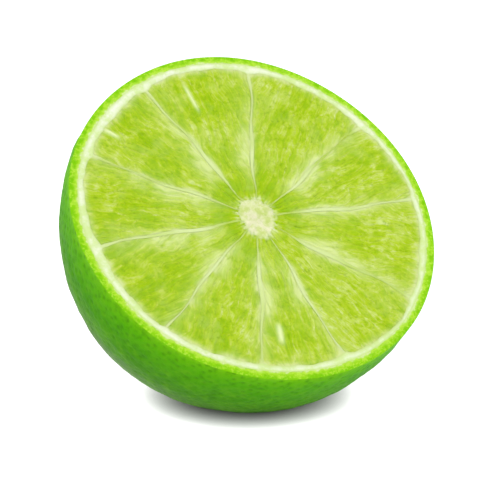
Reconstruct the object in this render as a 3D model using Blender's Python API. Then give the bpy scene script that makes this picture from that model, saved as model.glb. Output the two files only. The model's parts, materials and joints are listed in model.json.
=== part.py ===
"""Half of a lime, cut across its middle, standing on a small flat spot of its peel.

It is one solid in metres, +Z up, with the origin at the middle of the flat spot. The cut face
looks forward, along -Y, and upward. The blossom end with its nipple is behind and below.
"""

import math

import bmesh
import bpy
from mathutils import Matrix, Vector
from mathutils.bvhtree import BVHTree

# Driving dimensions, in metres and degrees.
CUT_RADIUS = 0.026  # middle of the cut face to the outside of the peel
END_DEPTH = 0.028  # cut face to the blossom end, without its nipple
FULLNESS = 2.15  # exponent of the side profile: 2 is an ellipse, more is fuller
NIPPLE_HEIGHT = 0.0028  # the nipple's rise above the blossom end
NIPPLE_RADIUS = 0.0042  # how far from the axis the nipple's rise falls to a third
FACE_TILT = 47.5  # how far above the horizontal the cut face looks
REST_MARGIN = 0.0026  # how far the resting spot reaches behind the centre of mass

# The cross-section isn't a true circle: each row is one wave around it, as the number of
# its lobes, its height as a share of the radius, and the direction of one crest in degrees.
LOBES = ((2, 0.006, 20.0), (3, 0.004, 75.0), (5, 0.002, 10.0))

SIDES = 72  # faces around the peel
STEPS = 28  # rows of faces from the cut face to the blossom end

PEEL_GREEN = (0.105, 0.330, 0.010, 1.0)
PEEL_ROUGHNESS = 0.42


def clear_scene():
    for obj in list(bpy.data.objects):
        bpy.data.objects.remove(obj, do_unlink=True)


def profile_point(step):
    """One point of the side profile: x is the radius and z the depth behind the cut face."""
    turn = math.radians(90) * step / STEPS
    radius = CUT_RADIUS * math.cos(turn) ** (2 / FULLNESS) if step < STEPS else 0.0
    depth = END_DEPTH * math.sin(turn) ** (2 / FULLNESS)
    nipple = NIPPLE_HEIGHT * math.exp(-((radius / NIPPLE_RADIUS) ** 2))
    return Vector((radius, 0.0, -depth - nipple))


def turn_profile(mesh):
    """The peel as a solid of revolution about Z, with its cut face at z = 0, facing up."""
    points = [mesh.verts.new(profile_point(step)) for step in range(STEPS + 1)]
    edges = [mesh.edges.new(pair) for pair in zip(points, points[1:])]
    bmesh.ops.spin(
        mesh,
        geom=points + edges,
        axis=(0, 0, 1),
        cent=(0, 0, 0),
        angle=math.radians(360),
        steps=SIDES,
        use_merge=True,
    )
    bmesh.ops.remove_doubles(mesh, verts=mesh.verts, dist=1e-7)
    rim = [edge for edge in mesh.edges if edge.is_boundary]
    bmesh.ops.contextual_create(mesh, geom=rim)
    bmesh.ops.recalc_face_normals(mesh, faces=mesh.faces)


def swell_lobes(mesh):
    """Makes the round cross-section slightly uneven, as a grown fruit is."""
    for vert in mesh.verts:
        around = math.atan2(vert.co.y, vert.co.x)
        swell = 1.0
        for count, height, crest in LOBES:
            swell += height * math.cos(count * (around - math.radians(crest)))
        vert.co.x *= swell
        vert.co.y *= swell


def stand_up(mesh):
    """Tips the cut face from upward to forward, leaving it FACE_TILT above the horizontal."""
    tip = Matrix.Rotation(math.radians(90 - FACE_TILT), 3, "X")
    bmesh.ops.rotate(mesh, verts=mesh.verts, cent=(0, 0, 0), matrix=tip)


def centre_of_mass(mesh):
    """The centre of the solid's volume, from the tetrahedra between its faces and the origin."""
    copy = mesh.copy()
    bmesh.ops.triangulate(copy, faces=copy.faces)
    volume = 0.0
    moment = Vector((0.0, 0.0, 0.0))
    for face in copy.faces:
        a, b, c = (vert.co for vert in face.verts)
        share = a.dot(b.cross(c)) / 6
        volume += share
        moment += share * (a + b + c) / 4
    copy.free()
    return moment / volume


def rest_level(mesh):
    """The height at which a level cut through the underside is just wide enough to stand on."""
    edge = centre_of_mass(mesh) + Vector((0.0, REST_MARGIN, 0.0))
    below = Vector((edge.x, edge.y, min(vert.co.z for vert in mesh.verts) - CUT_RADIUS))
    hit = BVHTree.FromBMesh(mesh).ray_cast(below, Vector((0.0, 0.0, 1.0)))[0]
    return hit.z


def flatten_rest(mesh):
    """Cuts the resting spot level and brings its middle to the origin."""
    cut = bmesh.ops.bisect_plane(
        mesh,
        geom=mesh.verts[:] + mesh.edges[:] + mesh.faces[:],
        dist=1e-6,
        plane_co=(0, 0, rest_level(mesh)),
        plane_no=(0, 0, -1),
        clear_outer=True,
    )
    rim = [item for item in cut["geom_cut"] if isinstance(item, bmesh.types.BMEdge)]
    spot = bmesh.ops.contextual_create(mesh, geom=rim)["faces"][0]
    bmesh.ops.recalc_face_normals(mesh, faces=mesh.faces)
    bmesh.ops.translate(mesh, verts=mesh.verts, vec=-spot.calc_center_median_weighted())


def peel_material():
    material = bpy.data.materials.new("lime_peel")
    material.use_nodes = True
    shader = material.node_tree.nodes["Principled BSDF"]
    shader.inputs["Base Color"].default_value = PEEL_GREEN
    shader.inputs["Roughness"].default_value = PEEL_ROUGHNESS
    shader.inputs["Metallic"].default_value = 0.0
    return material


def make_half_lime():
    mesh = bmesh.new()
    turn_profile(mesh)
    swell_lobes(mesh)
    stand_up(mesh)
    flatten_rest(mesh)
    data = bpy.data.meshes.new("half_lime")
    mesh.to_mesh(data)
    mesh.free()
    data.shade_smooth()
    data.set_sharp_from_angle(angle=math.radians(40))
    data.materials.append(peel_material())
    half = bpy.data.objects.new("half_lime", data)
    bpy.context.scene.collection.objects.link(half)


clear_scene()
make_half_lime()
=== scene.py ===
"""The looks of a half lime: peel, pith with its membranes and core, and ten segments of pulp.

Lengths are in metres. The cut face has axes of its own, with their origin at its middle:
x runs across it, y up it and z straight out of it. A turn is a direction on the face, in
radians from x towards y.
"""

import json
import math

import bpy
import numpy as np
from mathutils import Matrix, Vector
from mathutils.kdtree import KDTree


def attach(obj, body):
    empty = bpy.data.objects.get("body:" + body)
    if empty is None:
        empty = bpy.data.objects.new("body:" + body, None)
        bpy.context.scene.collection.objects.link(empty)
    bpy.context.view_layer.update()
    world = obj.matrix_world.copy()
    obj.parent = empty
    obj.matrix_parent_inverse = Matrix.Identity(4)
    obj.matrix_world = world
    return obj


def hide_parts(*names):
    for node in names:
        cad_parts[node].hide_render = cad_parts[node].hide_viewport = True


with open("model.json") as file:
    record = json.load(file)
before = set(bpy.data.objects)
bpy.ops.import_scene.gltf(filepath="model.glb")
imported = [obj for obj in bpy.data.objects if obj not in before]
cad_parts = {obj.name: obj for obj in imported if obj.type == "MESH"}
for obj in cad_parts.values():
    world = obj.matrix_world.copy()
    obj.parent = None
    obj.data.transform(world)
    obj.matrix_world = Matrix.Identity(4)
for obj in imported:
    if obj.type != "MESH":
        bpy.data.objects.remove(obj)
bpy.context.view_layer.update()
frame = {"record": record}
MM = 0.001


# The view. A long lens looks slightly down on the fruit from the left of the way its cut face
# points, so that the face is a tilted oval with peel showing under it and down its left side.
VIEW_AZIMUTH = math.radians(-27.5)
VIEW_ELEVATION = math.radians(17)
VIEW_DISTANCE = 0.45
VIEW_LENS = 238
VIEW_NEAREST = 0.01
VIEW_AIM = Vector((0.0, -0.0005, 0.0208))

sight = Vector((
    math.sin(VIEW_AZIMUTH) * math.cos(VIEW_ELEVATION),
    -math.cos(VIEW_AZIMUTH) * math.cos(VIEW_ELEVATION),
    math.sin(VIEW_ELEVATION),
))
bpy.ops.object.camera_add(location=VIEW_AIM + sight * VIEW_DISTANCE)
camera = bpy.context.object
camera.name = "camera"
camera.rotation_euler = sight.to_track_quat("Z", "Y").to_euler()
camera.data.lens = VIEW_LENS
camera.data.clip_start = VIEW_NEAREST
bpy.context.scene.camera = camera
bpy.context.scene.view_settings.view_transform = "Standard"


# The table and the light. A white top that glows as brightly as the white surround. Close around
# what stands on it the glow is dimmed by ambient occlusion, a painted contact shadow. Three soft
# lamps add shape, and the strongest, high on the left, gives the wet pulp its glints.
TABLE_SIZE = 8.0
TABLE_DROP = 0.02 * MM
TABLE_WHITE = (0.40, 0.40, 0.40, 1.0)
TABLE_ROUGHNESS = 0.9
TABLE_GLOW = 0.88
# How far the painted contact shadow reaches round what stands on the table.
PAINTED_SHADOW_REACH = 2.6 * MM
SURROUND_WHITE = (1.0, 1.0, 1.0, 1.0)
SURROUND_STRENGTH = 1.05
# Each lamp's name, place, size and power.
LAMPS = (
    ("lamp_high_left", (-0.42, -0.40, 0.62), 0.45, 2.2),
    ("lamp_right", (0.60, -0.35, 0.40), 0.50, 1.2),
    ("lamp_behind", (-0.30, 0.60, 0.55), 0.60, 1.6),
)

bpy.ops.object.select_all(action="DESELECT")
bpy.ops.mesh.primitive_plane_add(size=TABLE_SIZE, location=(0, 0, -TABLE_DROP))
table = bpy.context.object
table.name = "table"
table_finish = bpy.data.materials.new("table_white")
table_finish.use_nodes = True
table_shader = table_finish.node_tree.nodes["Principled BSDF"]
table_shader.inputs["Base Color"].default_value = TABLE_WHITE
# Painted contact shadow: ambient occlusion dims the table's glow close under the fruit.
painted_contact_shadow = table_finish.node_tree.nodes.new("ShaderNodeAmbientOcclusion")
painted_contact_shadow.inputs["Distance"].default_value = PAINTED_SHADOW_REACH
table_finish.node_tree.links.new(painted_contact_shadow.outputs["Color"], table_shader.inputs["Emission Color"])
table_shader.inputs["Emission Strength"].default_value = TABLE_GLOW
table_shader.inputs["Roughness"].default_value = TABLE_ROUGHNESS
table_shader.inputs["Specular IOR Level"].default_value = 0.0
table.data.materials.append(table_finish)

surround = bpy.data.worlds.new("surround")
surround.use_nodes = True
surround.node_tree.nodes["Background"].inputs["Color"].default_value = SURROUND_WHITE
surround.node_tree.nodes["Background"].inputs["Strength"].default_value = SURROUND_STRENGTH
bpy.context.scene.world = surround

for lamp_name, lamp_at, lamp_size, lamp_power in LAMPS:
    bpy.ops.object.light_add(type="AREA", location=lamp_at)
    lamp = bpy.context.object
    lamp.name = lamp_name
    lamp.data.size = lamp_size
    lamp.data.energy = lamp_power
    lamp.rotation_euler = (Vector(lamp_at) - VIEW_AIM).to_track_quat("Z", "Y").to_euler()


# The peel. The thin outer skin of the fruit, green and waxy, pitted by its oil glands. It
# grew as one bowl: a nipple with a dry scar closes its blossom end, and the knife left its
# edge as a rim around the face.
CUT_RADIUS = 26.0 * MM
END_DEPTH = 28.0 * MM  # from the cut face to the blossom end, without its nipple
FULLNESS = 2.15  # exponent of the side profile: 2 is an ellipse, more is fuller
PROFILE_POWER = 2 / FULLNESS
QUARTER_TURN = math.pi / 2
NIPPLE_HEIGHT = 2.8 * MM
NIPPLE_RADIUS = 4.2 * MM  # where the nipple's rise falls to a third
# The waves that make the round cross-section uneven: each one's count around it, its height
# as a share of the radius, and the direction of a crest in degrees.
LOBES = ((2, 0.006, 20.0), (3, 0.004, 75.0), (5, 0.002, 10.0))
PEEL_WALL = 1.2 * MM
RIM_ROUNDING = 0.12 * MM
PEEL_AROUND = 560
PEEL_INNER_ROWS = 22
PEEL_RIM_ROWS = 9
PEEL_OUTER_ROWS = 140
INSIDE, RIM, OUTSIDE = range(3)
# Bumps are given as their height, their size and the key of their noise.
PEEL_BUMPS = ((0.12 * MM, 7 * MM, 0), (0.05 * MM, 2 * MM, 5))
RIM_BUMPS = ((0.035 * MM, 0.45 * MM, 9),)
SMOOTH_EDGE = 1.2 * MM  # the skin gets its bumps over this distance from the cut
NOISE_WAVES = 28
NOISE_TURNS = 2.6  # how far each wave turns over the size of a feature, in radians
GLAND_COUNT = 3600
GLAND_RADIUS = 0.36 * MM
GLAND_DEPTH = 0.12 * MM
GLAND_SHALLOWEST = 0.45  # share of the full depth
GLAND_KEY = 7
GLAND_STAGGER = (0.1, 0.9)  # along the spiral that the glands are set on, in steps of it
GLAND_SIDEWAYS = 0.0125  # the most that a gland stands off the spiral, as a turn at the cut
GLAND_END_WIDTH = 0.1  # near the blossom end that turn grows no further than for this width
GOLDEN_ANGLE = math.pi * (3 - math.sqrt(5))
GROOVE_COUNT = 9  # shallow grooves that run up to the nipple
GROOVE_SWAY = 2.0
GROOVE_HEIGHT = 0.10 * MM
GROOVE_RADIUS = 4.0 * MM
GROOVE_REACH = 2.2 * MM
SCAR_RADIUS = 1.1 * MM
WELD = 0.0001 * MM
SHARP_EDGE = math.radians(38)
# Stops of a ramp across the cut edge, from the pith to the skin.
EDGE_GREENS = (
    (0.02, (0.52, 0.64, 0.28)),
    (0.16, (0.33, 0.56, 0.050)),
    (0.50, (0.245, 0.51, 0.009)),
    (1.0, (0.150, 0.43, 0.003)),
)
# Stops of a ramp down the skin, from the cut to the blossom end. The bright green next to the cut
# and its quick fall to dark below it are painted light and shade; the dark green further back
# is the skin's own.
SKIN_GREENS_AND_PAINTED_SHADING = (
    (0.0, (0.150, 0.42, 0.003)),
    (0.030, (0.095, 0.35, 0.001)),
    (0.09, (0.062, 0.29, 0.0005)),
    (0.20, (0.042, 0.222, 0.0005)),
    (0.50, (0.040, 0.138, 0.002)),
    (1.0, (0.070, 0.155, 0.008)),
)
PATCH_GREEN = (0.085, 0.30, 0.002)
# Specks that follow the skin's bump: lighter on its crests and darker in its hollows, partly the
# skin's own mottle and partly painted light and shade.
SPECK_MOTTLE_AND_CREST_LIGHT_GREEN = (0.115, 0.31, 0.008)
SPECK_MOTTLE_AND_HOLLOW_SHADE_GREEN = (0.034, 0.145, 0.001)
# Painted shade in the oil glands' pits.
PIT_SHADE_GREEN = (0.022, 0.110, 0.001)
EDGE_FIBRE_GREEN = (0.42, 0.64, 0.06)
CUT_GLAND_GREEN = (0.150, 0.42, 0.002)
SCAR_BROWN = (0.30, 0.22, 0.085)

face_record = next(m for m in frame["record"]["mounts"] if m["name"] == "cut_face")
FACE_OUT = np.array(face_record["axis"])
FACE_MIDDLE = np.array(face_record["pos_m"])
FACE_ACROSS = np.array((1.0, 0.0, 0.0))
FACE_UP = np.cross(FACE_OUT, FACE_ACROSS)


def to_frame(points, rest_level):
    """Points over the cut face as points of the object, kept above a level where it rests."""
    placed = FACE_MIDDLE + points @ np.array((FACE_ACROSS, FACE_UP, FACE_OUT))
    placed[:, 2] = np.maximum(placed[:, 2], rest_level)
    return placed


def get_points(piece):
    points = np.empty(len(piece.data.vertices) * 3)
    piece.data.vertices.foreach_get("co", points)
    return points.reshape(-1, 3)


def set_points(piece, points):
    piece.data.vertices.foreach_set("co", points.ravel())
    piece.data.update()


def new_sheet(name, rows, columns):
    """A flat sheet of faces to roll up into a shell, with each vertex's row and column."""
    bpy.ops.object.select_all(action="DESELECT")
    bpy.ops.mesh.primitive_grid_add(x_subdivisions=rows, y_subdivisions=columns, size=1.0)
    piece = bpy.context.object
    piece.name = name
    piece.data.name = name
    start = get_points(piece)
    row = np.rint((start[:, 0] + 0.5) * rows).astype(int)
    column = np.rint((start[:, 1] + 0.5) * columns).astype(int) % columns
    return piece, row, column


def smooth(piece):
    piece.data.shade_smooth()
    piece.data.set_sharp_from_angle(angle=SHARP_EDGE)


def close_up(piece):
    """Welds a rolled sheet where its edges and poles meet, and shades it smooth."""
    bpy.ops.object.mode_set(mode="EDIT")
    bpy.ops.mesh.select_all(action="SELECT")
    bpy.ops.mesh.remove_doubles(threshold=WELD)
    bpy.ops.object.mode_set(mode="OBJECT")
    smooth(piece)


def paint(piece, name, values):
    """Stores one number for each vertex, which the piece's material reads by this name."""
    layer = piece.data.attributes.new(name, "FLOAT", "POINT")
    layer.data.foreach_set("value", np.asarray(values, dtype=np.float32))


def swell(turn):
    """How far the cross-section lies outside a true circle, as a factor."""
    factor = np.ones_like(turn)
    for count, height, crest in LOBES:
        factor += height * np.cos(count * (turn - math.radians(crest)))
    return factor


def wander(points, size, key):
    """Smooth noise about 0, mostly from -1 to 1, with features of this size."""
    chance = np.random.default_rng(key)
    total = np.zeros(len(points))
    for _ in range(NOISE_WAVES):
        way = chance.normal(size=points.shape[1]) * NOISE_TURNS / size
        total += np.cos(points @ way + chance.uniform(0, 2 * math.pi))
    return total / math.sqrt(2 * NOISE_WAVES)


def uneven(points, bumps):
    """The height of all these bumps together at each point."""
    return sum(height * wander(points, size, key) for height, size, key in bumps)


def ease(values, low, high):
    """0 below low, 1 above high, and a smooth step between them."""
    share = np.clip((values - low) / (high - low), 0.0, 1.0)
    return share * share * (3 - 2 * share)


def skin_profile(angle, factor=1.0):
    """Radius and height of the skin, from the cut at angle 0 to its end at a quarter turn."""
    radius = CUT_RADIUS * max(math.cos(angle), 0.0) ** PROFILE_POWER * factor
    nipple = NIPPLE_HEIGHT * math.exp(-((radius / NIPPLE_RADIUS) ** 2))
    return radius, -END_DEPTH * math.sin(angle) ** PROFILE_POWER - nipple


def peel_profile():
    """Radius, height, share of the wall's thickness and part of the bowl of each row."""
    rows = []
    for angle in np.linspace(QUARTER_TURN, 0, PEEL_INNER_ROWS, endpoint=False):
        radius = (CUT_RADIUS - PEEL_WALL) * max(math.cos(angle), 0.0) ** PROFILE_POWER
        height = -(END_DEPTH - PEEL_WALL) * math.sin(angle) ** PROFILE_POWER
        rows.append((radius, height, 0.0, INSIDE))
    for out in np.linspace(0, PEEL_WALL - RIM_ROUNDING, PEEL_RIM_ROWS):
        rows.append((CUT_RADIUS - PEEL_WALL + out, 0.0, out / PEEL_WALL, RIM))
    for angle in np.linspace(0, QUARTER_TURN, PEEL_OUTER_ROWS):
        radius, height = skin_profile(angle)
        rows.append((radius, min(height, -RIM_ROUNDING), 1.0, OUTSIDE))
    return np.array(rows)


def set_glands():
    """The places of the oil glands, on a spiral over the skin, and how deep each one's pit is."""
    glands = KDTree(GLAND_COUNT)
    chance = np.random.default_rng(GLAND_KEY)
    depths = GLAND_DEPTH * chance.uniform(GLAND_SHALLOWEST, 1.0, GLAND_COUNT)
    for index in range(GLAND_COUNT):
        angle = math.asin((index + chance.uniform(*GLAND_STAGGER)) / GLAND_COUNT)
        sideways = chance.uniform(-GLAND_SIDEWAYS, GLAND_SIDEWAYS)
        turn = GOLDEN_ANGLE * index + sideways / max(math.cos(angle), GLAND_END_WIDTH)
        radius, height = skin_profile(angle, float(swell(np.array(turn))))
        glands.insert((radius * math.cos(turn), radius * math.sin(turn), height), index)
    glands.balance()
    return glands, depths


def make_peel():
    profile = peel_profile()
    peel, row, column = new_sheet("peel", len(profile) - 1, PEEL_AROUND)
    turn = column * 2 * math.pi / PEEL_AROUND
    radius, height, skin, part = profile[row].T
    radius = radius * swell(turn)
    points = np.stack((radius * np.cos(turn), radius * np.sin(turn), height), axis=1)
    outward = points / np.array((CUT_RADIUS**2, CUT_RADIUS**2, END_DEPTH**2))
    outward /= np.linalg.norm(outward, axis=1)[:, None]

    glands, depths = set_glands()
    outside = part == OUTSIDE
    pit = np.zeros(len(points))
    for vertex in np.flatnonzero(outside):
        _, nearest, distance = glands.find(points[vertex])
        pit[vertex] = depths[nearest] * math.exp(-((distance / GLAND_RADIUS) ** 2))

    grooves = GROOVE_HEIGHT * np.cos(GROOVE_COUNT * turn + GROOVE_SWAY * np.sin(2 * turn))
    grooves *= np.exp(-(((radius - GROOVE_RADIUS) / GROOVE_REACH) ** 2))
    raised = (uneven(points, PEEL_BUMPS) - pit + grooves) * outside
    raised *= ease(-height, 0.0, SMOOTH_EDGE)
    points += outward * raised[:, None]
    rim = part == RIM
    points[rim, 2] += uneven(points[rim], RIM_BUMPS)

    set_points(peel, to_frame(points, 0.0))
    paint(peel, "skin", skin)
    paint(peel, "pit", pit / GLAND_DEPTH)
    paint(peel, "from_cut", np.where(outside, -height / END_DEPTH, 0.0))
    paint(peel, "scar", np.exp(-((radius / SCAR_RADIUS) ** 4)) * outside)
    close_up(peel)
    return peel


class Wire:
    """One output in a material's nodes. Sums, differences and products add Math nodes."""

    def __init__(self, tree, socket):
        self.tree = tree
        self.socket = socket

    def node(self, kind, settings, inputs, output=0):
        """Adds any node: its settings first, then a value or a wire for each input."""
        made = self.tree.nodes.new(kind)
        for name, value in settings.items():
            if name == "stops":
                ramp = made.color_ramp
                while len(ramp.elements) < len(value):
                    ramp.elements.new(0.5)
                for element, (position, colour) in zip(ramp.elements, value):
                    element.position = position
                    element.color = (*colour, 1.0)
            else:
                setattr(made, name, value)
        for name, value in inputs.items():
            if isinstance(value, Wire):
                self.tree.links.new(value.socket, made.inputs[name])
            else:
                made.inputs[name].default_value = value
        return Wire(self.tree, made.outputs[output])

    def math(self, operation, first, second):
        return self.node("ShaderNodeMath", {"operation": operation}, {0: first, 1: second})

    def __add__(self, other):
        return self.math("ADD", self, other)

    __radd__ = __add__

    def __mul__(self, other):
        return self.math("MULTIPLY", self, other)

    __rmul__ = __mul__

    def __sub__(self, other):
        return self.math("SUBTRACT", self, other)

    def __rsub__(self, other):
        return self.math("SUBTRACT", other, self)

    def painted(self, name):
        """The numbers stored on the piece by this name."""
        return self.node("ShaderNodeAttribute", {"attribute_name": name}, {}, "Fac")

    def eased(self, low, high):
        """0 below low, 1 above high, and a smooth step between them."""
        ends = {"Value": self, "From Min": low, "From Max": high}
        return self.node("ShaderNodeMapRange", {"interpolation_type": "SMOOTHSTEP"}, ends)

    def ramp(self, stops):
        """A colour from these stops, each a position from 0 to 1 with its colour."""
        return self.node("ShaderNodeValToRGB", {"stops": stops}, {"Fac": self})

    def between(self, low, high, most=1.0):
        """A colour that goes from low towards high with this, as far as most of the way."""
        ends = {0: self * most if most < 1.0 else self}
        for index, colour in ((6, low), (7, high)):
            ends[index] = colour if isinstance(colour, Wire) else (*colour, 1.0)
        return self.node("ShaderNodeMix", {"data_type": "RGBA"}, ends, 2)

    def noise(self, scale, detail, roughness, distortion=0.0):
        """Cloudy noise at these coordinates, about 0.5."""
        inputs = {"Vector": self, "Scale": scale, "Detail": detail, "Roughness": roughness}
        inputs["Distortion"] = distortion
        return self.node("ShaderNodeTexNoise", {}, inputs, "Fac")

    def bump(self, height, strength, distance):
        inputs = {"Height": height, "Strength": strength, "Distance": distance}
        return self.node("ShaderNodeBump", {}, inputs)


def new_finish(name, **constants):
    """A material, its coordinates on the object, and a function that wires its shader."""
    finish = bpy.data.materials.new(name)
    finish.use_nodes = True
    tree = finish.node_tree
    shader = tree.nodes["Principled BSDF"]
    for socket, value in constants.items():
        shader.inputs[socket.replace("_", " ")].default_value = value
    coords = Wire(tree, tree.nodes.new("ShaderNodeTexCoord").outputs["Object"])

    def wire(**sockets):
        for socket, source in sockets.items():
            tree.links.new(source.socket, shader.inputs[socket.replace("_", " ")])

    return finish, coords, wire


def peel_finish():
    finish, at, wire = new_finish(
        "lime_peel",
        IOR=1.38,
        Specular_IOR_Level=0.02,
        Coat_Roughness=0.20,
        Subsurface_Weight=0.18,
        Subsurface_Radius=(0.6, 1.0, 0.15),
        Subsurface_Scale=0.0008,
    )
    skin = at.painted("skin")
    pit = at.painted("pit")
    from_cut = at.painted("from_cut")
    scar = at.painted("scar")
    fine = at.noise(2600.0, 3.0, 0.6)
    patch = at.noise(170.0, 3.0, 0.55)
    speckle = at.noise(760.0, 3.0, 0.62)
    ragged = at.noise(950.0, 2.0, 0.5)
    gland = at.node("ShaderNodeTexVoronoi", {}, {"Vector": at, "Scale": 1050.0}, "Distance")

    # Painted light next to the cut and painted shade below it, over the skin's own darker green
    # further back.
    green = from_cut.ramp(SKIN_GREENS_AND_PAINTED_SHADING)
    green = patch.eased(0.36, 0.66).between(green, PATCH_GREEN, most=0.35)
    # Partly mottle, partly painted light on the bump's crests and painted shade in its hollows.
    green = speckle.eased(0.45, 0.72).between(green, SPECK_MOTTLE_AND_CREST_LIGHT_GREEN, most=0.40)
    green = (1 - speckle.eased(0.30, 0.50)).between(green, SPECK_MOTTLE_AND_HOLLOW_SHADE_GREEN, most=0.40)
    # Painted shade: darker in the oil glands' pits.
    green = pit.eased(0.1, 0.9).between(green, PIT_SHADE_GREEN, most=0.45)

    edge = (skin + (ragged - 0.5) * 1.1).ramp(EDGE_GREENS)
    edge = fine.eased(0.46, 0.60).between(edge, EDGE_FIBRE_GREEN, most=0.55)
    cut_glands = (1 - gland.eased(0.15, 0.65)) * skin.eased(0.15, 0.60)
    edge = cut_glands.between(edge, CUT_GLAND_GREEN, most=0.80)

    rind = skin.eased(0.96, 0.995).between(edge, green)
    wire(
        Base_Color=scar.between(rind, SCAR_BROWN),
        Roughness=0.36 + 0.20 * speckle + 0.25 * scar,
        Coat_Weight=from_cut.eased(0.25, 0.95) * 0.42,
        Normal=at.bump(fine + speckle, 0.45, 0.00012),
    )
    return finish


peel = make_peel()
peel.data.materials.append(peel_finish())
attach(peel, "root")
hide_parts("half_lime")


# The pith. White spongy tissue that grew in one piece: the lining under the peel, the thin
# membranes between the segments, and the core they meet in. Each segment has a deep pocket.
CORE_AT = np.array((0.2, -0.5)) * MM
CORE_RADIUS = 2.4 * MM
CORE_STRETCH = 0.24
# Waves round the core are given as their count, their height and where the first one starts.
# These are shares of the core's radius.
CORE_WAVES = ((3, 0.05, 0.6), (7, 0.04, 0.0), (19, 0.03, 0.0), (34, 0.03, 1.0))
# Each membrane's direction round the core in degrees, how far its pale film spreads over the
# pulp on its left and on its right, looking outward from the core, and how clearly it shows
# near the peel, from 0 to 1.
MEMBRANES = (
    (-2, 0.3, 0.5, 0.7), (30, 0.7, 0.7, 0.0), (72, 1.1, 0.2, 0.7), (111, 1.1, 0.2, 0.6),
    (147, 1.2, 0.2, 0.4), (182, 1.3, 0.2, 0.7), (217, 0.7, 0.6, 0.7), (251, 0.8, 0.4, 0.6),
    (281, 0.2, 0.8, 1.0), (318, 0.8, 0.5, 0.3),
)
DIRECTIONS, FILMS_LEFT, FILMS_RIGHT, CLARITY = zip(*MEMBRANES)
SEGMENTS = len(MEMBRANES)
# How a membrane sways to the sides: the height and length of each wave of it, and how far
# each wave is shifted from one membrane to the next. It starts to sway at the first radius of
# its zone, and sways fully from the second one on.
SWAYS = ((0.22 * MM, 3.1 * MM, 2.3), (0.10 * MM, 1.3 * MM, 4.1))
SWAY_ZONE = (2 * MM, 6 * MM)
MEMBRANE_HALF = 0.115 * MM
# How its two thicknesses vary from one membrane to the next, as a share of each, and the step
# and start of the wave that they vary by.
HALF_VARIES = (0.25, 2.9, 0.5)
FLARE_VARIES = (0.3, 1.7, 0.0)
RIPPLE = 0.2  # how much its thickness varies on its way out
RIPPLE_LENGTH = 1.9 * MM
BELLY = 1.1  # how much thicker a membrane is half way out
BELLY_ZONE = (4 * MM, 11 * MM, 11 * MM, 19 * MM)
FLARE = 0.14 * MM  # how much thicker it is where it meets the lining
FLARE_ZONE = (20.0 * MM, 23.6 * MM)
FLARE_POWER = 1.6
PITH_INSET = 1.15 * MM  # from the outside of the peel to the outside of the pith
PULP_INSET = 2.15 * MM  # from the outside of the peel to the pulp
# Waves round the outer ends of the segments, which make the white lining uneven.
PULP_WAVES = (
    (1, 0.18 * MM, math.radians(125)), (5, 0.13 * MM, 0.4), (7, 0.12 * MM, 1.3),
    (19, 0.07 * MM, 0.0), (43, 0.06 * MM, 2.0), (97, 0.03 * MM, 0.0),
)
AIM_RADIUS = 20 * MM  # where the direction of a line across a segment is taken
OUTER_CORNER = 0.32 * MM  # how far a segment's outer corners are rounded off
CORNER_POWER = 14
INNER_CORNER = 0.15 * MM
POCKET_GAP = 0.03 * MM
POCKET_SPARE = 0.2 * MM  # how much deeper a pocket is than its segment
POCKET_LEAST = 1.0 * MM
POCKET_EDGE = 0.97  # where the outermost of the columns across a pocket stand
POCKET_COLUMNS = 35
MEMBRANE, WALL_FOOT, POCKET = range(3)
# Rows of faces over the core, the pockets, the lining and the back, and where each part ends.
CORE_ROWS = 14
POCKET_ROWS = 70
LINING_ROWS = 10
BACK_ROWS = 26
LAST_POCKET_ROW = CORE_ROWS + POCKET_ROWS
LAST_LINING_ROW = LAST_POCKET_ROW + LINING_ROWS
LAST_PITH_ROW = LAST_LINING_ROW + BACK_ROWS
SMALLEST_RADIUS = 0.8 * MM  # nearer the middle of the core, the columns run straight in
MEMBRANE_ROUNDING = 0.05 * MM
PITH_REST_LEVEL = 0.9 * MM
# How clearly a membrane's cut edge shows, from 0 to 1. It shows least at the core and in full
# past its zone, in patches. An unclear one fades in its own zone, and each foot shows again.
FADE_ZONE = (10.5 * MM, 15 * MM)
SHOW_LEAST = 0.15
SHOW_ZONE = (4 * MM, 9 * MM)
SHOW_BUMPS = ((0.22, 3.0 * MM, 21),)
FOOT_ZONE = (21.8 * MM, 23.5 * MM)
# The spongy surface, and the lumps and edge of the core.
SPONGE_BUMPS = ((0.030 * MM, 0.55 * MM, 0), (0.02 * MM, 0.22 * MM, 3))
CORE_BUMPS = ((0.07 * MM, 0.8 * MM, 7),)
CORE_EDGE = (0.85, 1.15)
# Rays round the core are given as their count, how far they bend and how often they do.
FIBRES = (23, 3.0, 5)
FIBRE_HEIGHT = 0.05 * MM
FIBRE_START = 2 * MM
# How white the lining is, from 0 to 1. It is whiter towards one side, in patches.
WHITE_MIDDLE = 0.45
WHITE_SIDE = 0.4
WHITE_TURN = math.radians(140)
WHITE_BUMPS = ((0.45, 5 * MM, 33),)
# Stops of ramps across the lining, from the pulp to the peel, where it is least white and
# where it is whitest.
LINING_GREENS = (
    (0.0, (0.45, 0.57, 0.16)),
    (0.25, (0.52, 0.63, 0.30)),
    (0.60, (0.60, 0.68, 0.45)),
    (1.0, (0.44, 0.60, 0.16)),
)
LINING_WHITES = (
    (0.0, (0.50, 0.60, 0.26)),
    (0.20, (0.62, 0.67, 0.47)),
    (0.62, (0.68, 0.71, 0.60)),
    (0.84, (0.60, 0.67, 0.42)),
    (1.0, (0.50, 0.63, 0.24)),
)
LINING_BLOTCH_GREEN = (0.47, 0.61, 0.20)
SUNK_MEMBRANE_GREEN = (0.325, 0.465, 0.025)
MEMBRANE_WHITE = (0.52, 0.61, 0.27)
MEMBRANE_PATCH_WHITE = (0.54, 0.64, 0.30)
CORE_GREEN = (0.44, 0.53, 0.15)
CORE_WHITE = (0.63, 0.62, 0.42)
CORE_FLECK_WHITE = (0.70, 0.69, 0.48)
CORE_PORE_GREEN = (0.42, 0.51, 0.14)
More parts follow.
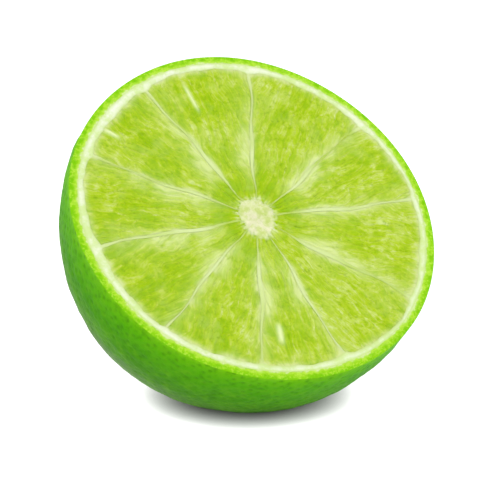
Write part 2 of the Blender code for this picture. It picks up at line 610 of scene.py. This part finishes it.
SPONGE_GREEN = (0.44, 0.56, 0.20)


def edge_radius(turn, inset):
    """From the core to this far inside the peel's outline, in a direction round the core."""
    ahead = CORE_AT[0] * np.cos(turn) + CORE_AT[1] * np.sin(turn)
    reach = CUT_RADIUS * swell(turn) - inset
    return np.sqrt(reach**2 - CORE_AT @ CORE_AT + ahead**2) - ahead


def ring(turn, waves):
    """The height of all these waves round the core together, in a direction round it."""
    return sum(height * np.sin(count * turn + start) for count, height, start in waves)


def rays(turn, count, bend, bends):
    """0 to 1 and back for each of the uneven rays round the core."""
    return 0.5 + 0.5 * np.sin(count * turn + bend * np.sin(bends * turn))


def hump(values, low, full, fall, end):
    """0 below low, 1 from full to fall, and 0 again above end."""
    return ease(values, low, full) * (1 - ease(values, fall, end))


def membrane_turn(index, radius):
    """The direction of a membrane's middle line, which sways a little on its way out."""
    lap, place = divmod(index, SEGMENTS)
    straight = 2 * math.pi * lap + math.radians(DIRECTIONS[place])
    sway = sum(
        height * np.sin(radius / length + shift * place) for height, length, shift in SWAYS
    )
    return straight + sway / np.maximum(radius, SWAY_ZONE[0]) * ease(radius, *SWAY_ZONE)


def varied(place, share, step, start):
    """A factor near 1 that is a membrane's own."""
    return 1 + share * math.sin(step * place + start)


def membrane_half(index, radius):
    """Half of a membrane's thickness, which flares where it meets the lining."""
    place = index % SEGMENTS
    ripple = RIPPLE * np.sin(radius / RIPPLE_LENGTH + place)
    swollen = 1 + ripple + BELLY * hump(radius, *BELLY_ZONE)
    flare = FLARE * varied(place, *FLARE_VARIES) * ease(radius, *FLARE_ZONE) ** FLARE_POWER
    return MEMBRANE_HALF * varied(place, *HALF_VARIES) * swollen + flare


def core_radius(turn):
    """The core is taller than it is wide, with an uneven edge."""
    return CORE_RADIUS * (1 + CORE_STRETCH * np.sin(turn) ** 2 + ring(turn, CORE_WAVES))


def pulp_edges(index, across):
    """Inner and outer end of a segment on the line across, -1 to 1, between its membranes."""
    first = membrane_turn(index, AIM_RADIUS)
    last = membrane_turn(index + 1, AIM_RADIUS)
    turn = first + (last - first) * (across + 1) / 2
    outer = edge_radius(turn, PULP_INSET) + ring(turn, PULP_WAVES)
    outer = outer - OUTER_CORNER * np.abs(across) ** CORNER_POWER
    inner = core_radius(turn) + INNER_CORNER * across**2
    return inner, outer


def pulp_turn(index, across, radius, gap=0.0):
    """The direction of the line across a segment at this radius, between its two walls."""
    first = membrane_turn(index, radius) + (membrane_half(index, radius) + gap) / radius
    last = membrane_turn(index + 1, radius)
    last = last - (membrane_half(index + 1, radius) + gap) / radius
    return first + (last - first) * (across + 1) / 2


def pocket_floor(radius, turn, inset):
    """Height of the round back of a pocket or a segment, under a point of the face."""
    share = np.clip(radius / edge_radius(turn, inset), 0.0, 1.0)
    return -(END_DEPTH - inset) * (1 - share**FULLNESS) ** (1 / FULLNESS)


def on_face(radius, turn):
    """The x and y of points at this radius and direction from the core."""
    return np.stack((radius * np.cos(turn), radius * np.sin(turn)), axis=1) + CORE_AT


def pith_columns():
    """The membrane or segment, the place across it and the kind of each column."""
    columns = []
    for index in range(SEGMENTS):
        columns += [(index, across, MEMBRANE) for across in (0.0, 0.5, 1.0)]
        columns.append((index, -1.0, WALL_FOOT))
        for across in np.linspace(-POCKET_EDGE, POCKET_EDGE, POCKET_COLUMNS):
            columns.append((index, across, POCKET))
        columns.append((index, 1.0, WALL_FOOT))
        columns += [(index + 1, across, MEMBRANE) for across in (-1.0, -0.5)]
    return columns


def pith_column(index, across, kind):
    """One column of the pith, from the core over the face and down the back to its end.

    Gives each row's radius, turn and height, whether it is sunk in a pocket or on a membrane,
    its share of the way across the lining, and how clearly its membrane shows.
    """
    if kind == MEMBRANE:
        owner = index if across >= 0 else index - 1
        inner, outer = pulp_edges(owner, -1.0 if across >= 0 else 1.0)
    else:
        inner, outer = pulp_edges(index, across)
    in_core = slice(0, CORE_ROWS + 1)
    in_pocket = slice(CORE_ROWS + 1, LAST_POCKET_ROW)
    in_lining = slice(LAST_POCKET_ROW, LAST_LINING_ROW + 1)
    in_back = slice(LAST_LINING_ROW, LAST_PITH_ROW + 1)
    radius = np.full(LAST_PITH_ROW + 1, float(outer))
    radius[in_core] = np.linspace(0, inner, CORE_ROWS + 1)
    radius[in_pocket] = np.linspace(inner, outer, POCKET_ROWS - 1)
    radius[CORE_ROWS + 1] += POCKET_GAP
    radius[LAST_POCKET_ROW - 1] -= POCKET_GAP
    aimed = np.maximum(radius, SMALLEST_RADIUS)
    if kind == MEMBRANE:
        turn = membrane_turn(index, aimed) + across * membrane_half(index, aimed) / aimed
    else:
        turn = pulp_turn(index, across, aimed, POCKET_GAP if kind == WALL_FOOT else 0.0)
    rim = edge_radius(turn[-1], PITH_INSET)
    lining = np.linspace(0, 1, LINING_ROWS + 1)
    down = np.linspace(0, QUARTER_TURN, BACK_ROWS + 1)
    radius[in_lining] = outer + (rim - outer) * lining
    radius[in_back] = rim * np.maximum(np.cos(down), 0.0) ** PROFILE_POWER

    height, sunk, thin, out, clear = np.zeros((5, LAST_PITH_ROW + 1))
    height[in_back] = -(END_DEPTH - PITH_INSET) * np.sin(down) ** PROFILE_POWER
    if kind == MEMBRANE:
        between_ends = slice(CORE_ROWS, LAST_POCKET_ROW + 1)
        height[between_ends] = -MEMBRANE_ROUNDING * abs(across)
        thin[between_ends] = 1.0
        clear[:] = CLARITY[index % SEGMENTS]
    else:
        floor = pocket_floor(radius[in_pocket], turn[in_pocket], PULP_INSET - POCKET_SPARE)
        height[in_pocket] = np.minimum(floor, -POCKET_LEAST)
        sunk[in_pocket] = 1.0
    out[in_lining] = lining
    out[in_back] = 1.0
    return radius, turn, height, sunk, thin, out, clear


def make_pith():
    columns = pith_columns()
    pith, row, column = new_sheet("pith", LAST_PITH_ROW, len(columns))
    shape = np.array([pith_column(*facts) for facts in columns])
    radius, turn, height, sunk, thin, out, clear = shape[column, :, row].T
    points = np.column_stack((on_face(radius, turn), height))
    face = (sunk == 0) & (row <= LAST_LINING_ROW)

    show = SHOW_LEAST + (1 - SHOW_LEAST) * ease(radius, *SHOW_ZONE) + uneven(points, SHOW_BUMPS)
    show *= 1 - (1 - clear) * ease(radius, *FADE_ZONE)
    show = np.maximum(np.clip(show, 0.0, 1.0), ease(radius, *FOOT_ZONE))
    core = 1 - ease(radius / core_radius(turn), *CORE_EDGE)
    fibres = FIBRE_HEIGHT * rays(turn, *FIBRES) * ease(radius, 0, FIBRE_START)
    lumps = uneven(points, CORE_BUMPS) + fibres
    points[:, 2] += (uneven(points, SPONGE_BUMPS) + core * lumps) * face
    white = WHITE_MIDDLE + WHITE_SIDE * np.cos(turn - WHITE_TURN) + uneven(points, WHITE_BUMPS)

    set_points(pith, to_frame(points, PITH_REST_LEVEL))
    paint(pith, "core", core * face)
    paint(pith, "thin", thin * face)
    paint(pith, "out", out)
    paint(pith, "show", show)
    paint(pith, "white", np.clip(white, 0.0, 1.0))
    close_up(pith)
    return pith


def pith_finish():
    finish, at, wire = new_finish(
        "lime_pith",
        IOR=1.36,
        Specular_IOR_Level=0.25,
        Subsurface_Weight=0.30,
        Subsurface_Radius=(1.0, 1.0, 0.6),
        Subsurface_Scale=0.0007,
    )
    core = at.painted("core")
    thin = at.painted("thin")
    show = at.painted("show")
    out = at.painted("out")
    white = at.painted("white")
    fine = at.noise(2400.0, 3.0, 0.6)
    patch = at.noise(420.0, 3.0, 0.6)
    pore = at.noise(1300.0, 3.0, 0.6)
    blotch = at.noise(520.0, 4.0, 0.65)

    lining = white.between(out.ramp(LINING_GREENS), out.ramp(LINING_WHITES))
    lining = blotch.eased(0.40, 0.64).between(lining, LINING_BLOTCH_GREEN, most=0.75)
    membrane = show.between(SUNK_MEMBRANE_GREEN, MEMBRANE_WHITE)
    membrane = patch.eased(0.3, 0.7).between(membrane, MEMBRANE_PATCH_WHITE, most=0.25)
    heart = patch.eased(0.35, 0.65).between(CORE_GREEN, CORE_WHITE)
    heart = pore.eased(0.45, 0.62).between(heart, CORE_FLECK_WHITE, most=0.4)
    heart = (1 - pore.eased(0.34, 0.46)).between(heart, CORE_PORE_GREEN, most=0.35)
    tissue = core.between(thin.between(lining, membrane), heart)
    wire(
        Base_Color=fine.eased(0.4, 0.7).between(tissue, SPONGE_GREEN, most=0.20),
        Roughness=0.50 + 0.2 * fine,
        Normal=at.bump(fine, 0.35, 0.00006),
    )
    return finish


pith = make_pith()
pith.data.materials.append(pith_finish())
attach(pith, "root")
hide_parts("half_lime")


# The pulp. Ten wedges packed with long juice sacs that point from the rind to the core. The
# knife went through the sacs, so the wet surface shows their cut walls as fine pale streaks.
PULP_ALONG = 144
PULP_ACROSS = 100
PULP_LEVEL = -0.05 * MM
PULP_OVERLAP = 0.04 * MM  # how far a segment's sides and ends reach into the pith
PULP_REST_LEVEL = 2.3 * MM
PULP_LEAST_DEPTH = 1.2 * MM
LEVEL_REACH = 0.7 * MM  # the surface comes up to the pith's level over this distance
CALM_REACH = 0.35 * MM  # the sacs lose their height over this distance from a wall
PULP_BUMPS = ((0.09 * MM, 2.6 * MM, 11), (0.03 * MM, 0.6 * MM, 0))
# The sacs lie in rows across the way out. How far each one strays from its place, and how
# broad its wall and its dome are, are shares of its own size.
SAC_WIDTH = 1.15 * MM
SAC_LENGTH = 5.2 * MM
SAC_KEY = 100
SAC_STEP = 0.62  # from one row of sacs to the next, as a share of a sac's length
SAC_ROWS_REACH = 27 * MM
SAC_ROW_HALF = 13 * MM
SAC_ASIDE = 0.42
SAC_ALONG = 0.45
SAC_WALL = 0.20
SAC_DOME = 0.75
# How high a sac's dome stands, how deep its cut wall lies, and so on for a dry sac and for
# the groove next to a membrane.
SAC_RISE = 0.13 * MM
WALL_SINK = 0.05 * MM
DRY_RISE = 0.10 * MM
GROOVE_SINK = 0.05 * MM
GROOVE_WIDTH = 0.15 * MM
# The sacs' course follows the middle line of the segment, as it is outside the first radius.
# It is bent aside and along by bumps, whose keys are these and the segment's number together.
COURSE_FROM = 6 * MM
COURSE_WIDENS = 1.5 * MM
COURSE_APART = 7.0
ASIDE_BENDS = ((0.45 * MM, 4.0 * MM, 0), (0.12 * MM, 1.2 * MM, 0))
ALONG_BENDS = ((0.9 * MM, 3.0 * MM, 20),)
# The pale film that the membranes spread over the pulp. It starts and ends in these zones, is
# strongest in its belly and comes in blotches. The rind spreads a narrow film too, and a faint
# haze reaches further from the membranes.
BLOTCH_MIDDLE = 0.75
BLOTCH_BUMPS = ((0.6, 2.2 * MM, 40),)
BLOTCH_RANGE = (0.1, 1.2)
RIND_BLOTCH_RANGE = (0.2, 1.2)
FILM_REACH = 1.25 * MM  # the spread of a film that the membranes' table gives as 1
FILM_POWER = 1.3
FILM_START = (3.5 * MM, 9.5 * MM)
FILM_END = (13 * MM, 20 * MM)
FILM_LOSS = 0.65  # share of the film that is lost on its way out to the peel
FILM_BELLY = 0.5
FILM_BELLY_ZONE = (6 * MM, 9 * MM, 11 * MM, 17 * MM)
RIND_FILM = 0.90
RIND_FILM_REACH = 0.42 * MM
HAZE = 0.18
HAZE_REACH = 1.6 * MM
HAZE_ZONE = (6 * MM, 12 * MM)
# A dark line of painted shade runs next to a membrane, along its groove, where its film is
# narrow.
CREASE_WIDTH = 0.13 * MM
CREASE_COVER = 0.75 * MM  # a film that spreads this far hides the crease next to it
# Pale rays run out into the pulp from the core, with dry fuzz close around it.
SPIKES = (31, 2.0, 9)
SPIKE_PALE = 1.2
PALE_LEAST = 0.30
PALE_MOST = 1.2
PALE_REACH = 1.1 * MM
PALE_POWER = 1.4
FUZZ_BUMPS = ((0.9, 0.5 * MM, 51),)
FUZZ_REACH = 0.45 * MM
FUZZ_POWER = 1.6
FUZZ = 0.9
# Single pale sacs, dried out by the cut: x, y, half length and half width in millimetres.
PALE_SACS = ((-3.3, -18.5, 1.5, 0.42), (-15.9, 15.6, 1.3, 0.35), (-2.3, 19.6, 2.2, 0.28))
SINK_ZONE = (11 * MM, 15 * MM)  # where the groove at an unclear membrane ends
GROOVE_ZONE = (5 * MM, 9 * MM)  # where a groove begins
GROOVE_END = (0.2 * MM, 1.2 * MM)  # how near the rind a groove ends
CALM_ZONE = (3.5 * MM, 9 * MM)  # the pulp is darker and plainer inside this zone
# The pulp is greener towards one side, and near the rind where there is little film.
GREEN_TURN = math.radians(155)
GREEN_RIND = 1.3
GREEN_BLOTCH = 1.3
GREEN_REACH = 2.2 * MM
# Stops of a ramp from the deep, clear juice to the pale walls of the sacs.
FLESH_GREENS = (
    (0.0, (0.228, 0.395, 0.001)),
    (0.28, (0.276, 0.430, 0.001)),
    (0.50, (0.342, 0.472, 0.012)),
    (0.74, (0.405, 0.512, 0.070)),
    (1.0, (0.485, 0.585, 0.185)),
)
MILKY_GREEN = (0.430, 0.530, 0.125)
# Painted shade in the crevices of the pulp's grain and between its hairs.
CREVICE_SHADE_GREEN = (0.180, 0.310, 0.002)
CREASE_SHADE_GREEN = (0.190, 0.290, 0.015)
FILM_WHITE = (0.515, 0.605, 0.235)
DRY_WHITE = (0.62, 0.70, 0.38)


def sacs(index, aside, along):
    """Wall (0 to 1), dome (0 to 1) and own tone (0 to 1) of the juice sac at each point."""
    chance = np.random.default_rng(SAC_KEY + index)
    seeds = []
    for step, down in enumerate(np.arange(0.0, SAC_ROWS_REACH, SAC_LENGTH * SAC_STEP)):
        for over in np.arange(-SAC_ROW_HALF, SAC_ROW_HALF, SAC_WIDTH):
            seeds.append((over + SAC_WIDTH * 0.5 * (step % 2), down, 0.0))
    seeds = np.array(seeds)
    seeds[:, 0] += chance.uniform(-SAC_ASIDE, SAC_ASIDE, len(seeds)) * SAC_WIDTH
    seeds[:, 1] += chance.uniform(-SAC_ALONG, SAC_ALONG, len(seeds)) * SAC_LENGTH
    seeds[:, 2] = chance.uniform(0, 1, len(seeds))
    nearest = np.full(len(aside), np.inf)
    second = np.full(len(aside), np.inf)
    tone = np.zeros(len(aside))
    for over, down, own in seeds:
        away = np.hypot((aside - over) / SAC_WIDTH, (along - down) / SAC_LENGTH)
        closer = away < nearest
        second = np.where(closer, nearest, np.minimum(second, away))
        tone = np.where(closer, own, tone)
        nearest = np.where(closer, away, nearest)
    wall = 1 - ease(second - nearest, 0.0, SAC_WALL)
    dome = np.clip(1 - (nearest / SAC_DOME) ** 2, 0, 1)
    return wall, dome, tone


def segment_block(index):
    """A block of faces to bend into a wedge.

    With it come each vertex's place along it from 0 to 1 and across it from -1 to 1, and
    whether it is on the top.
    """
    bpy.ops.object.select_all(action="DESELECT")
    bpy.ops.mesh.primitive_grid_add(
        x_subdivisions=PULP_ALONG, y_subdivisions=PULP_ACROSS, size=1.0
    )
    segment = bpy.context.object
    segment.name = f"segment_{index + 1}"
    segment.data.name = segment.name
    bpy.ops.object.mode_set(mode="EDIT")
    bpy.ops.mesh.select_all(action="SELECT")
    bpy.ops.mesh.extrude_region_move(TRANSFORM_OT_translate={"value": (0, 0, 1)})
    bpy.ops.object.mode_set(mode="OBJECT")
    start = get_points(segment)
    return segment, start[:, 0] + 0.5, start[:, 1] * 2, start[:, 2] > 0.5


def own_keys(bumps, index):
    """The same bumps with noise of this segment's own."""
    return [(height, size, key + index) for height, size, key in bumps]


def fade(distance, reach, power):
    """1 at no distance, and less and less beyond this reach."""
    return np.exp(-((distance / reach) ** power))


def dry_sacs(points):
    """How dry the pulp is at each point, from 0 to 1, because of the single pale sacs."""
    dry = np.zeros(len(points))
    for sac in PALE_SACS:
        x, y, length, width = np.array(sac) * MM
        way = np.array((x, y)) / math.hypot(x, y)
        away = points[:, :2] - np.array((x, y))
        inline = away @ way
        beside = away @ np.array((-way[1], way[0]))
        dry += np.exp(-((inline / length) ** 4) - (beside / width) ** 2)
    return dry


def make_segment(index):
    segment, out_share, across, top = segment_block(index)
    inner, outer = pulp_edges(index, across)
    radius = inner - PULP_OVERLAP + (outer - inner + 2 * PULP_OVERLAP) * out_share
    turn = pulp_turn(index, across, radius, -PULP_OVERLAP)
    points = np.column_stack((on_face(radius, turn), np.zeros(len(radius))))

    middle = pulp_turn(index, 0.0, np.maximum(radius, COURSE_FROM))
    aside = (turn - middle) * (radius + COURSE_WIDENS)
    aside = aside + uneven(points, own_keys(ASIDE_BENDS, index))
    along = radius + uneven(points, own_keys(ALONG_BENDS, index))
    wall, dome, tone = sacs(index, aside, along)

    from_first = np.maximum(turn - pulp_turn(index, -1.0, radius), 0.0) * radius
    from_last = np.maximum(pulp_turn(index, 1.0, radius) - turn, 0.0) * radius
    from_wall = np.minimum(from_first, from_last)
    from_out = np.maximum(outer - radius, 0.0)
    from_in = np.maximum(radius - inner, 0.0)
    from_end = np.minimum(from_out, from_in)
    film_first = FILMS_LEFT[index] * FILM_REACH
    film_last = FILMS_RIGHT[(index + 1) % SEGMENTS] * FILM_REACH
    first_clear = CLARITY[index]
    last_clear = CLARITY[(index + 1) % SEGMENTS]

    along_wall = ease(radius, *FILM_START) * (1 - FILM_LOSS * ease(radius, *FILM_END))
    blotch = BLOTCH_MIDDLE + uneven(points, own_keys(BLOTCH_BUMPS, index))
    film = fade(from_first, film_first, FILM_POWER) + fade(from_last, film_last, FILM_POWER)
    film *= along_wall * np.clip(blotch, *BLOTCH_RANGE)
    film *= 1 + FILM_BELLY * hump(radius, *FILM_BELLY_ZONE)
    rind_film = RIND_FILM * fade(from_out, RIND_FILM_REACH, FILM_POWER)
    film += rind_film * np.clip(blotch, *RIND_BLOTCH_RANGE)
    film += HAZE * fade(from_wall, HAZE_REACH, 1) * ease(radius, *HAZE_ZONE)
    # Painted shade in the groove beside each membrane, where its film is narrow.
    crease = fade(from_first, CREASE_WIDTH, 2) * max(1 - film_first / CREASE_COVER, 0)
    crease += fade(from_last, CREASE_WIDTH, 2) * max(1 - film_last / CREASE_COVER, 0)
    pale = PALE_LEAST + SPIKE_PALE * rays(turn, *SPIKES) ** 2
    pale *= fade(from_in, PALE_REACH, PALE_POWER)
    fuzz = np.clip(0.5 + uneven(points, FUZZ_BUMPS), 0.0, 1.0)
    dry = dry_sacs(points) + FUZZ * fuzz * fade(from_in, FUZZ_REACH, FUZZ_POWER)
    green = 0.5 + 0.5 * np.cos(turn - GREEN_TURN)
    rind_green = GREEN_RIND * fade(from_out, GREEN_REACH, 1)
    green += rind_green * np.clip(GREEN_BLOTCH - blotch, 0.0, 1.0)

    rise = SAC_RISE * (dome - 0.5) * (0.5 + tone) - WALL_SINK * wall
    rise += uneven(points, PULP_BUMPS) + DRY_RISE * dry
    sunk = ease(radius, *SINK_ZONE)
    groove = fade(from_first, GROOVE_WIDTH, 2) * (1 - sunk * (1 - first_clear))
    groove += fade(from_last, GROOVE_WIDTH, 2) * (1 - sunk * (1 - last_clear))
    groove *= ease(radius, *GROOVE_ZONE) * ease(from_out, *GROOVE_END)
    surface = PULP_LEVEL * ease(from_end, 0.0, LEVEL_REACH) - GROOVE_SINK * groove
    surface += rise * ease(np.minimum(from_wall, from_end), 0.0, CALM_REACH)
    under = np.minimum(pocket_floor(radius, turn, PULP_INSET), -PULP_LEAST_DEPTH)
    points[:, 2] = np.where(top, surface, under)
    set_points(segment, to_frame(points, PULP_REST_LEVEL))

    paint(segment, "wall", wall)
    paint(segment, "tone", tone)
    paint(segment, "pale", np.clip(pale, 0, PALE_MOST))
    paint(segment, "film", np.clip(film, 0, 1))
    paint(segment, "crease", np.clip(crease * along_wall, 0, 1))
    paint(segment, "calm", 1 - ease(radius, *CALM_ZONE))
    paint(segment, "green", green)
    paint(segment, "dry", np.clip(dry, 0, 1))
    flow = segment.data.attributes.new("flow", "FLOAT_VECTOR", "POINT")
    course = (aside / MM, along / MM, np.full(len(aside), COURSE_APART * index))
    flow.data.foreach_set("vector", np.column_stack(course).astype(np.float32).ravel())
    smooth(segment)
    return segment


def pulp_finish():
    finish, at, wire = new_finish(
        "lime_pulp",
        IOR=1.36,
        Specular_IOR_Level=0.14,
        Subsurface_Weight=0.55,
        Subsurface_Radius=(1.0, 1.0, 0.35),
        Subsurface_Scale=0.0010,
    )
    wall = at.painted("wall")
    tone = at.painted("tone")
    pale = at.painted("pale")
    film = at.painted("film")
    crease = at.painted("crease")
    calm = at.painted("calm")
    green = at.painted("green")
    dry = at.painted("dry")
    flow = at.node("ShaderNodeAttribute", {"attribute_name": "flow"}, {}, "Vector")

    def drawn_out(share):
        """The pulp's flow with its features drawn out along the sacs, to one in this share."""
        return flow.node(
            "ShaderNodeVectorMath", {"operation": "MULTIPLY"}, {0: flow, 1: (1.0, share, 1.0)}
        )

    streak = drawn_out(0.27).noise(0.75, 3.0, 0.58, 1.4)
    hair = drawn_out(0.42).noise(1.35, 3.0, 0.60, 2.4)
    cloud = at.noise(150.0, 4.0, 0.55)
    fleck = at.noise(800.0, 3.0, 0.65)
    milk = at.noise(330.0, 3.0, 0.6)
    grain = at.noise(1500.0, 3.0, 0.6)

    light = 0.11 + 0.30 * (cloud.eased(0.34, 0.66) - 0.4) + 0.14 * tone
    light = light - 0.17 * calm - 0.12 * green
    strokes = 0.34 * streak.eased(0.36, 0.70) + 0.29 * hair.eased(0.36, 0.76)
    light = light + strokes * (1 - 0.5 * calm)
    light = light + 0.34 * (fleck.eased(0.35, 0.70) - 0.35) + 0.36 * wall * streak
    light = light + 0.50 * pale

    flesh = light.ramp(FLESH_GREENS)
    flesh = milk.eased(0.46, 0.70).between(flesh, MILKY_GREEN, most=0.34)
    # Painted shade: darker in the gaps of a fine grain and between the hairs, where the bump
    # sinks too.
    crevice_shade = (1 - grain.eased(0.30, 0.46)) * 0.50 + (1 - hair.eased(0.22, 0.44)) * 0.40
    flesh = crevice_shade.between(flesh, CREVICE_SHADE_GREEN)
    # Painted shade: darker along the groove beside a membrane.
    flesh = crease.between(flesh, CREASE_SHADE_GREEN, most=0.55)
    veil = film * (0.50 + 0.75 * streak.eased(0.30, 0.66))
    flesh = veil.between(flesh, FILM_WHITE)
    wire(
        Base_Color=dry.between(flesh, DRY_WHITE, most=0.9),
        Roughness=0.16 + 0.30 * streak,
        Normal=at.bump(streak + 0.7 * hair, 0.40, 0.00014),
    )
    return finish


wet_pulp = pulp_finish()
for number in range(SEGMENTS):
    piece = make_segment(number)
    piece.data.materials.append(wet_pulp)
    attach(piece, "root")
    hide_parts("half_lime")
